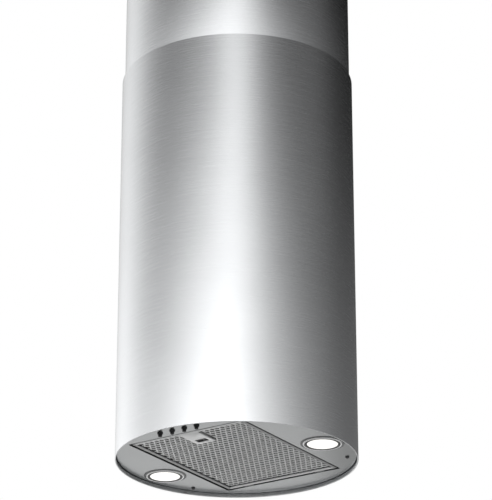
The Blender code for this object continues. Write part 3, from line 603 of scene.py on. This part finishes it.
def make_tube_screws(mats):
    for side, word in ((-1, "left"), (1, "right")):
        node = f"tube_screw_{word}"
        low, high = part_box(node)
        head_r = (high.y - low.y) / 2
        length = high.x - low.x
        profile = [
            (0, 0),
            (head_r * 0.6, -0.0003),
            (head_r * 0.92, -0.0010),
            (head_r, -0.0017),
            (0.0018, -0.0017),
            (0.0018, -length),
            (0, -length),
        ]
        at = (high.x if side > 0 else low.x, 0, (low.z + high.z) / 2)
        turn = Matrix.Rotation(side * math.pi / 2, 4, "Y")
        screw = lathe(f"tube_screw_{word}_head", profile, 32, False)
        cut(screw, cross_recess("recess", 0, 0.0011, head_r * 0.55, (0, 0, 0)))
        screw.data.transform(Matrix.Translation(at) @ turn)
        dress(screw, "ceiling_frame", mats["chrome"], "chrome", node)


# ---------------------------------------------------------------- lamps
def make_lamps(mats):
    for side, place in lamp_places():
        low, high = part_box(f"lamp_ring_{side}")
        ring_r = (high.x - low.x) / 2
        glass_low, glass_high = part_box(f"lamp_glass_{side}")
        glass_r = (glass_high.x - glass_low.x) / 2
        under = PANEL_Z - 0.0003
        at = (place.x, place.y, 0)
        seat_r = glass_r + 0.0044
        ledge = under - 0.0003
        bezel = [
            (0.0282, high.z),
            (0.0282, under),
            (ring_r, under),
            (ring_r - 0.0004, under - 0.0009),
            (ring_r - 0.0012, low.z),
            (seat_r + 0.0008, low.z),
            (seat_r, low.z + 0.0005),
            (seat_r, ledge),
            (glass_r + 0.0014, ledge),
            (glass_r + 0.0014, high.z),
        ]
        ring = lathe(f"lamp_bezel_{side}", rounded(bezel, 0.0003, 3), 96, True, at)
        dress(ring, "lower_unit", mats["chrome"], "chrome", f"lamp_ring_{side}")
        seal = [
            (seat_r - 0.0001, ledge - 0.0001),
            (seat_r - 0.0001, low.z + 0.0006),
            (seat_r - 0.0014, low.z + 0.0003),
            (glass_r + 0.0001, low.z + 0.0006),
            (glass_r + 0.0001, ledge - 0.0001),
        ]
        gasket = lathe(f"lamp_gasket_{side}", rounded(seal, 0.0003, 3), 96, True, at)
        dress(gasket, "lower_unit", mats["black_plastic"], "black_plastic")
        # painted shade: a grey plastic ring under the bezel, reaching out past it, stands in for the dark
        # ring of shade on the panel round the lamp
        painted_shade_ring_r = ring_r + 0.0034
        painted_shade_ring = [
            (painted_shade_ring_r, PANEL_Z - 0.0002),
            (painted_shade_ring_r - 0.0004, PANEL_Z - 0.0007),
            (ring_r - 0.0008, PANEL_Z - 0.0009),
            (ring_r - 0.0008, PANEL_Z - 0.0002),
        ]
        seat = lathe(f"lamp_skirt_{side}", rounded(painted_shade_ring, 0.0002, 2), 96, True, at)
        dress(seat, "lower_unit", mats["grey_plastic"], "grey_plastic")
        dome = [(glass_r * s, low.z + 0.0001 + 0.0005 * s * s) for s in (0, 0.25, 0.5, 0.75, 0.92)]
        rim = [(glass_r, low.z + 0.0009), (glass_r, glass_high.z)]
        profile = [(0, glass_high.z), *rim[::-1], *dome[::-1]]
        glass = lathe(f"lamp_front_{side}", profile, 96, False, at)
        dress(glass, "lower_unit", mats["glass"], "glass", f"lamp_glass_{side}")


# ---------------------------------------------------------------- push buttons
BUTTON_TRAVEL = 0.003


def make_buttons(mats):
    block_low, block_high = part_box("switch_block")
    collars = []
    for node, place in button_places():
        low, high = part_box(node)
        radius = (high.x - low.x) / 2
        collar_z = PANEL_Z - 0.0020
        at = (place.x, place.y, 0)
        profile = [
            (COLLAR_R, PANEL_Z + 0.0012),
            (COLLAR_R, collar_z + 0.0004),
            (COLLAR_R - 0.0004, collar_z),
            (radius + 0.0007, collar_z),
            (radius + 0.0003, collar_z + 0.0004),
            (radius + 0.0003, PANEL_Z + 0.0012),
        ]
        collars.append(lathe(f"collar_{node}", rounded(profile, 0.0002, 2), 48, True, at))
        cap = [
            (0, high.z),
            (radius, high.z),
            (radius, low.z + 0.0016),
            (radius - 0.0002, low.z + 0.0013),
            (radius - 0.0002, low.z + 0.0007),
            (radius - 0.0009, low.z + 0.0001),
            (0, low.z + 0.0003),
        ]
        button = lathe(f"{node}_cap", rounded(cap, 0.0002, 2, closed=False), 48, False, at)
        dress(button, node, mats["black_plastic"], "black_plastic", node)
    foot = (block_low.x, block_low.y, PANEL_Z + 0.0013)
    body = block("switch_body", foot, tuple(block_high), 0.0006)
    bores = []
    for node, place in button_places():
        low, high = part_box(node)
        radius = (high.x - low.x) / 2 + 0.0003
        end = high.z + BUTTON_TRAVEL + 0.0015
        depth = [(0, end), (radius, end), (radius, PANEL_Z), (0, PANEL_Z)]
        bores.append(lathe(f"bore_{node}", depth, 32, False, (place.x, place.y, 0)))
    cut(body, bores)
    switch = joined("switch_unit", [body, *collars])
    dress(switch, "lower_unit", mats["black_plastic"], "black_plastic", "switch_block")


# ---------------------------------------------------------------- grease filter
RAIL_LIP = 0.0024


def rail_outline():
    """The rail's section, as (in from the outer edge, up): a channel whose lips hold the meshes."""
    high = FILTER_HIGH.z - FILTER_LOW.z
    wall = 0.0009
    groove = [(0.0022, 0), (0.0025, 0.0007), (0.0031, 0.0007), (0.0034, 0)]
    outer = [(0, high), (0, 0), *groove, (RAIL_W, 0), (RAIL_W, RAIL_LIP)]
    inner = [(RAIL_W - wall, RAIL_LIP), (RAIL_W - wall, wall), (wall, wall), (wall, high - wall)]
    top = [(RAIL_W - wall, high - wall), (RAIL_W - wall, high - RAIL_LIP)]
    lip = [(RAIL_W, high - RAIL_LIP), (RAIL_W, high)]
    return rounded([*outer, *inner, *top, *lip], 0.0006, 3)


def make_rails(mats):
    section = rail_outline()
    half_x = (FILTER_HIGH.x - FILTER_LOW.x) / 2
    half_y = (FILTER_HIGH.y - FILTER_LOW.y) / 2
    centre = (FILTER_LOW + FILTER_HIGH) / 2
    mitre_gap = 0.00012
    rails = []
    for i, (across, along) in enumerate(((half_x, half_y), (half_y, half_x)) * 2):
        bm = bmesh.new()
        ends = []
        for sign in (-1, 1):
            ends.append([bm.verts.new((across - d, sign * (along - d - mitre_gap), z)) for d, z in section])
        count = len(section)
        for j in range(count):
            k = (j + 1) % count
            bm.faces.new((ends[0][j], ends[0][k], ends[1][k], ends[1][j]))
        bm.faces.new(ends[0][::-1])
        bm.faces.new(ends[1])
        bmesh.ops.recalc_face_normals(bm, faces=bm.faces)
        mesh = bpy.data.meshes.new(f"rail_{i}")
        bm.to_mesh(mesh)
        bm.free()
        turn = Matrix.Rotation(i * math.pi / 2, 4, "Z")
        mesh.transform(Matrix.Translation((centre.x, centre.y, FILTER_LOW.z)) @ turn)
        rails.append(link_object(f"rail_{i}", mesh))
    frame_piece = joined("filter_rails", rails)
    slider_low, slider_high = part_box("latch_slider")
    passage = block(
        "slider_passage",
        (slider_low.x - 0.0004, FILTER_LOW.y - 0.01, FILTER_LOW.z + 0.0011),
        (slider_high.x + 0.0004, FILTER_LOW.y + RAIL_W + 0.002, slider_high.z + 0.0004),
    )
    cut(frame_piece, [passage])
    dress(frame_piece, "filter", mats["rail"], "aluminium", "filter_frame")


STRIP_FACES = ((0, 1, 5, 4), (1, 2, 6, 5), (2, 3, 7, 6), (3, 0, 4, 7), (3, 2, 1, 0), (4, 5, 6, 7))


def expanded_metal(name, low, high, z, short_way, long_way, strand, thick, tilt_deg, keep, lift=0.0):
    """A sheet of expanded metal: zigzag strands that run the long way, in Y, and meet their neighbours at
    each bend. Each strand is a flat strip, tilted out of the sheet by the slitting and stretching."""
    bm = bmesh.new()
    half_long, quarter = long_way / 2, short_way / 4
    columns = int((high[0] - low[0]) / (short_way / 2)) + 2
    rows = int((high[1] - low[1]) / half_long) + 2
    pieces = 24
    for column in range(columns + 1):
        for row in range(rows + 1):
            side = 1 if (column + row) % 2 else -1
            x = low[0] + column * short_way / 2
            y = low[1] + row * half_long
            bend = 0.0002 * math.sin(12.9 * column + 7.3 * row)
            first = Vector((x - side * quarter, y, z + lift * side + bend))
            last = Vector((x + side * quarter, y + half_long, z - lift * side - bend))
            inside = [i for i in range(pieces + 1) if keep(*first.lerp(last, i / pieces).xy)]
            if len(inside) < 2:
                continue
            along = (last - first).normalized()
            start, end = (first.lerp(last, i / pieces) for i in (inside[0], inside[-1]))
            if inside[0] == 0:
                start = start - along * strand * 0.25
            if inside[-1] == pieces:
                end = end + along * strand * 0.25
            tilt = math.radians(tilt_deg + 7 * math.sin(5.1 * column + 3.7 * row))
            flat = along.cross(Vector((0, 0, 1))).normalized()
            wide = (flat * math.cos(tilt) + Vector((0, 0, 1)) * math.sin(tilt)) * strand / 2
            deep = along.cross(wide).normalized() * thick / 2
            corners = [
                bm.verts.new(p + w * wide + d * deep)
                for p in (start, end)
                for w, d in ((-1, -1), (1, -1), (1, 1), (-1, 1))
            ]
            for face in STRIP_FACES:
                bm.faces.new([corners[i] for i in face])
    bmesh.ops.recalc_face_normals(bm, faces=bm.faces)
    mesh = bpy.data.meshes.new(name)
    bm.to_mesh(mesh)
    bm.free()
    return link_object(name, mesh)


def make_meshes(mats):
    plate_low, plate_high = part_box("latch_plate")
    slit = 0.0030
    notch_low, notch_high = plate_low.x - 0.0006, plate_high.x + slit
    notch_end = plate_high.y + 0.0006

    for node, inset, short_way, long_way, strand, tilt, lift, material in (
        ("filter_mesh_front", RAIL_W + 0.0008, 0.0098, 0.0176, 0.0021, 25, 0.0, "mesh"),
        ("filter_core", 0.0030, 0.0062, 0.0120, 0.0024, -42, 0.0004, "mesh_core"),
        ("filter_mesh_back", 0.0030, 0.0088, 0.0190, 0.0030, 30, 0.0, "mesh_core"),
    ):
        node_low, node_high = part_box(node)
        z = (node_low.z + node_high.z) / 2
        low = (FILTER_LOW.x + inset, FILTER_LOW.y + inset)
        high = (FILTER_HIGH.x - inset, FILTER_HIGH.y - inset)

        def keep(x, y):
            in_notch = notch_low < x < notch_high and y < notch_end
            return low[0] < x < high[0] and low[1] < y < high[1] and not in_notch

        sizes = (short_way, long_way, strand, 0.0003)
        piece = expanded_metal(f"{node}_strands", low, high, z, *sizes, tilt, keep, lift)
        if node == "filter_mesh_front":
            front = FILTER_LOW.y + RAIL_W + 0.0002
            hem = 0.0011
            bottom, top = z - 0.0004, z + 0.0004
            end = notch_end + hem
            hems = [
                block("hem_left", (notch_low - hem, front, bottom), (notch_low, end, top), 0.0002),
                block("hem_right", (notch_high, front, bottom), (notch_high + hem, end, top), 0.0002),
                block("hem_rear", (notch_low, notch_end, bottom), (notch_high, end, top), 0.0002),
            ]
            piece = joined(f"{node}_strands", [piece, *hems])
        dress(piece, "filter", mats[material], "aluminium", node)


def make_latch(mats):
    low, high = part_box("latch_plate")
    slider_low, slider_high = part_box("latch_slider")
    x = (low.x + high.x) / 2
    finger_y = low.y + 0.0380
    corner = 0.0012
    finger = rectangle((x - 0.0105, finger_y - 0.006), (x + 0.0105, finger_y + 0.006), 0.0018)
    outline = rectangle((low.x, low.y), (high.x, high.y), corner)
    plate = sheet("latch_cover", [outline, finger], low.z, low.z + 0.001, 0.00025)
    wall_t = 0.0009
    inset = 0.0006
    foot, back = low.z + inset, high.y - inset
    rear_high = (high.x - inset, high.y, high.z)
    walls = [
        block("latch_wall_left", (low.x, low.y, foot), (low.x + wall_t, back, high.z), 0.0002),
        block("latch_wall_right", (high.x - wall_t, low.y, foot), (high.x, back, high.z), 0.0002),
        block("latch_wall_rear", (low.x + inset, high.y - wall_t, foot), rear_high, 0.0002),
    ]
    cover = joined("latch_housing", [plate, *walls])
    dress(cover, "filter", mats["aluminium"], "aluminium", "latch_plate")

    base = low.z + 0.0013
    body = block("slider_body", (slider_low.x, slider_low.y, base), tuple(slider_high), 0.0003)
    grip_y = finger_y - 0.0030
    ribs = [
        block(
            f"slider_rib_{i}",
            (x - 0.0070, grip_y - 0.0019 + i * 0.0015, low.z + 0.0003),
            (x + 0.0070, grip_y - 0.0011 + i * 0.0015, base + 0.0004),
            0.0002,
        )
        for i in range(3)
    ]
    slider = joined("latch_slider_grip", [body, *ribs])
    dress(slider, "filter_latch", mats["black_plastic"], "black_plastic", "latch_slider")
    make_latch_spring(mats)


def make_latch_spring(mats):
    """A compression spring with closed ends."""
    low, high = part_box("latch_spring")
    centre = (low + high) / 2
    wire_r = 0.0003
    coil_r = (high.x - low.x) / 2 - wire_r
    turns, per_turn = 7, 20
    curve = bpy.data.curves.new("latch_spring_coil", "CURVE")
    curve.dimensions = "3D"
    curve.bevel_depth = wire_r
    curve.bevel_resolution = 3
    curve.use_fill_caps = True
    spline = curve.splines.new("POLY")
    count = turns * per_turn
    spline.points.add(count)
    for i, point in enumerate(spline.points):
        turn = i / per_turn
        open_part = min(max((turn - 1) / (turns - 2), 0.0), 1.0)
        closed_part = 2.2 * wire_r * (min(turn, 1.0) + max(turn - turns + 1, 0.0))
        y = low.y + wire_r + closed_part + open_part * (high.y - low.y - 6.4 * wire_r)
        angle = 2 * math.pi * turn
        point.co = (centre.x + coil_r * math.cos(angle), y, centre.z + coil_r * math.sin(angle), 1)
    source = link_object("latch_spring_path", curve)
    bpy.context.view_layer.update()
    mesh = bpy.data.meshes.new_from_object(source.evaluated_get(bpy.context.evaluated_depsgraph_get()))
    bpy.data.objects.remove(source)
    mesh.shade_smooth()
    coil = link_object("latch_spring_coil", mesh)
    dress(coil, "filter", mats["chrome"], "chrome", "latch_spring")
    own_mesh(coil)


def make_tabs(mats):
    """Bent rear tabs, each with a rivet into the rail."""
    for side in ("left", "right"):
        node = f"filter_tab_{side}"
        low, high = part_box(node)
        t = 0.001
        shoulder = FILTER_HIGH.y + 0.0004
        section = [
            (low.y, high.z - t),
            (shoulder, high.z - t),
            (shoulder, low.z),
            (high.y, low.z),
            (high.y, low.z + t),
            (shoulder + t, low.z + t),
            (shoulder + t, high.z),
            (low.y, high.z),
        ]
        along_x = Matrix(((0, 0, 1, 0), (1, 0, 0, 0), (0, 1, 0, 0), (0, 0, 0, 1)))
        strip = sheet(f"{node}_strip", [rounded(section, 0.0004, 3)], low.x, high.x, 0.0002, 2, along_x)
        rivet = lathe(
            f"{node}_rivet",
            [(0, 0.0009), (0.0012, 0.0008), (0.0021, 0.0003), (0.0023, 0.0), (0, 0.0)],
            24,
            False,
            ((low.x + high.x) / 2, low.y + 0.004, high.z - 0.0009),
        )
        piece = joined(f"{node}_bent", [strip, rivet])
        dress(piece, "filter", mats["aluminium"], "aluminium", node)


# ---------------------------------------------------------------- seen from above and through the openings
PAN_T = 0.002
PAN_WALL = 0.0015


def make_pan(name, low, high, hole_r):
    """A round plate with a hole in its middle and its edge turned down."""
    radius, under, inside = high.x, high.z - PAN_T, high.x - PAN_WALL
    profile = [(radius, high.z), (radius, low.z), (inside, low.z), (inside, under), (hole_r, under)]
    return lathe(name, rounded([*profile, (hole_r, high.z)], 0.0007, 3), 192)


def make_ceiling_plate(mats):
    low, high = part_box("ceiling_plate")
    pan = make_pan("ceiling_pan", low, high, 0.085)
    slot = stadium(0.030, 0.008, (0, 0.140))
    cutters = []
    for i in range(4):
        turn = Matrix.Rotation(i * math.pi / 2, 4, "Z")
        cutters.append(sheet(f"slot_{i}", [slot], high.z - 0.01, high.z + 0.01, 0, 2, turn))
    hole = [(0, 0.01), (0.012, 0.01), (0.012, -0.01), (0, -0.01)]
    cutters.append(lathe("cable_hole", hole, 48, False, (0.110, -0.070, 0)))
    cut(pan, cutters)
    dress(pan, "ceiling_frame", mats["zinc"], "zinc", "ceiling_plate")


def make_support_plate(mats):
    low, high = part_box("support_plate")
    plate = make_pan("support_pan", low, high, 0.082)
    gland = middle("cable_gland")
    hole = [(0, high.z + 0.01), (0.0105, high.z + 0.01), (0.0105, high.z - 0.01), (0, high.z - 0.01)]
    cut(plate, [lathe("gland_hole", hole, 32, False, (gland.x, gland.y, 0))])
    dress(plate, "lower_unit", mats["zinc"], "zinc", "support_plate")


def make_collar(mats):
    low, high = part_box("outlet_collar")
    outer, bore, t = 0.075, 0.0735, 0.002
    flange = sheet(
        "collar_flange",
        [rectangle((low.x, low.y), (high.x, high.y), 0.006), circle(bore, 96)],
        low.z,
        low.z + t,
        0.0003,
    )
    wall = [
        (outer, high.z),
        (outer, high.z - 0.012),
        (outer, low.z + t + 0.004),
        (outer + 0.0025, low.z + t - 0.0001),
        (bore, low.z + t - 0.0001),
        (bore, high.z),
    ]
    spigot = lathe("collar_tube", rounded(wall, 0.0004, 3), 128)
    piece = joined("outlet_spigot", [flange, spigot])
    dress(piece, "lower_unit", mats["grey_plastic"], "grey_plastic", "outlet_collar")


def make_gland(mats):
    low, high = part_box("cable_gland")
    place = middle("cable_gland")
    seat = SUPPORT_TOP + 0.0003
    body = [
        (0.0078, high.z),
        (0.0088, high.z - 0.0012),
        (0.0105, high.z - 0.0075),
        (0.0105, seat + 0.006),
        (0.0125, seat + 0.006),
        (0.0125, seat),
        (0.0100, seat),
        (0.0100, low.z),
        (0.0042, low.z),
        (0.0042, high.z),
    ]
    dome = lathe("gland_dome", rounded(body, 0.0005, 3), 48, True, (place.x, place.y, 0))
    centre = (place.x, place.y)
    hexagon = [circle(0.0138, 6, centre), circle(0.0104, 48, centre)]
    nut = sheet("gland_nut", hexagon, seat, seat + 0.006, 0.0005)
    piece = joined("cable_gland_body", [dome, nut])
    dress(piece, "lower_unit", mats["black_plastic"], "black_plastic", "cable_gland")


def finish_cad_nodes(mats):
    """The CAD nodes that stay take the material of their slot in the record."""
    slots = {row["node"]: row["material_slot"] for row in frame["record"]["subparts"]}
    for name, obj in frame["nodes"].items():
        if obj.hide_render:
            continue
        material = mats[slots[name]]
        obj.data.materials.clear()
        obj.data.materials.append(material)
        bevel = obj.modifiers.new("Bevel", "BEVEL")
        bevel.width = 0.00025
        bevel.segments = 1
        bevel.limit_method = "ANGLE"
        bevel.angle_limit = math.radians(50)


# ---------------------------------------------------------------- stage and light
FLOOR_Z = -14.0
FLOOR_R = 180.0
FILL_SIZE = 0.80
FILL_RADIANCE = 0.38
FILL_DISTANCE = 1.2
FILL_AIM = (-0.12, -0.10)
KEY_LOW, KEY_HIGH = 12.0, 26.0  # elevations, in degrees, between which the studio's light changes


def make_floor():
    under = FLOOR_Z - 0.1
    slab = [(0, FLOOR_Z), (FLOOR_R, FLOOR_Z), (FLOOR_R, under), (0, under)]
    floor = lathe("studio_floor", slab, 64, False)
    made, nodes, shader, place = new_material("pale_floor", (0.80, 0.80, 0.79), 0.7, 0.0)
    speckle = nodes.noise(place, 3.0, 4.0)
    toned = nodes.mix(nodes.range(speckle, 0.3, 0.7, 0, 1), (0.78, 0.78, 0.77, 1), (0.82, 0.82, 0.81, 1))
    nodes.link(toned, shader.inputs["Base Color"])
    floor.data.materials.append(made)


def make_panel_light():
    """A dim soft panel low down behind the left side, which the underside mirrors."""
    data = bpy.data.lights.new("underside_fill", "AREA")
    data.shape = "DISK"
    data.size = FILL_SIZE
    data.energy = FILL_RADIANCE * math.pi * math.pi * (FILL_SIZE / 2) ** 2
    light = bpy.data.objects.new("underside_fill", data)
    scene.collection.objects.link(light)
    light.visible_camera = False
    aim = Vector((*FILL_AIM, PANEL_Z))
    camera = scene.camera.location
    mirrored = Vector((camera.x, camera.y, 2 * PANEL_Z - camera.z))
    light.location = aim + (aim - mirrored).normalized() * FILL_DISTANCE
    light.rotation_euler = (light.location - aim).to_track_quat("Z", "Y").to_euler()


def make_world():
    """A white studio whose soft light differs by direction: a wide key from the front, which is stronger
    low down, a white side on the left, a dark one on the right and a bright ceiling. Its bearings are
    measured from the camera's side."""
    world = bpy.data.worlds.new("studio")
    scene.world = world
    world.use_nodes = True
    tree = world.node_tree
    nodes = Nodes(tree)
    background = tree.nodes["Background"]
    direction = nodes.add("ShaderNodeTexCoord").outputs["Generated"]

    def along(vector):
        node = nodes.add("ShaderNodeVectorMath", operation="DOT_PRODUCT")
        nodes.link(direction, node.inputs[0])
        node.inputs[1].default_value = vector
        return node.outputs["Value"]

    sin_a, cos_a = math.sin(CAMERA_AZIMUTH), math.cos(CAMERA_AZIMUTH)
    across = along((cos_a, sin_a, 0))
    ahead = along((sin_a, -cos_a, 0))
    bearing = nodes.math("DEGREES", nodes.math("ARCTAN2", across, ahead))
    height = nodes.math("DEGREES", nodes.math("ARCSINE", along((0, 0, 1))))
    low = nodes.range(height, KEY_HIGH, KEY_LOW, 0.0, 1.0)

    def lobe(centre, width, strength):
        """A soft patch of light round a bearing. Each value is one number, or a pair for high and low."""
        def by_height(value):
            return nodes.range(low, 0.0, 1.0, *value) if isinstance(value, tuple) else value

        offset = nodes.math("DIVIDE", nodes.math("SUBTRACT", bearing, by_height(centre)), by_height(width))
        bell = nodes.math("EXPONENT", nodes.math("MULTIPLY", nodes.math("MULTIPLY", offset, offset), -1.0))
        return nodes.math("MULTIPLY", bell, by_height(strength))

    lobes = [
        lobe((-1.0, -28.0), (19.5, 76.0), (0.89, 2.6)),
        lobe(-135.0, 42.0, (1.02, 1.35)),
        lobe(80.0, 26.0, (0.07, 0.0)),
        nodes.range(low, 0.0, 1.0, 0.0, 0.28),
        nodes.range(height, 55.0, 85.0, 0.0, 1.0, "SMOOTHSTEP"),
    ]
    total = lobes[0]
    for more in lobes[1:]:
        total = nodes.math("ADD", total, more)
    seen = nodes.add("ShaderNodeLightPath").outputs["Is Camera Ray"]
    strength = nodes.add("ShaderNodeMix", data_type="FLOAT")
    nodes.link(seen, strength.inputs["Factor"])
    nodes.link(total, strength.inputs[2])
    strength.inputs[3].default_value = 1.0
    nodes.link(strength.outputs[0], background.inputs["Strength"])
    background.inputs["Color"].default_value = (1, 1, 1, 1)
    scene.view_settings.view_transform = "Standard"


# ---------------------------------------------------------------- build
make_camera()
materials = make_materials()
make_shells(materials)
make_panel(materials)
make_panel_screws(materials)
make_tube_screws(materials)
make_lamps(materials)
make_buttons(materials)
make_rails(materials)
make_meshes(materials)
make_latch(materials)
make_tabs(materials)
make_ceiling_plate(materials)
make_support_plate(materials)
make_collar(materials)
make_gland(materials)
finish_cad_nodes(materials)
make_floor()
make_panel_light()
make_world()
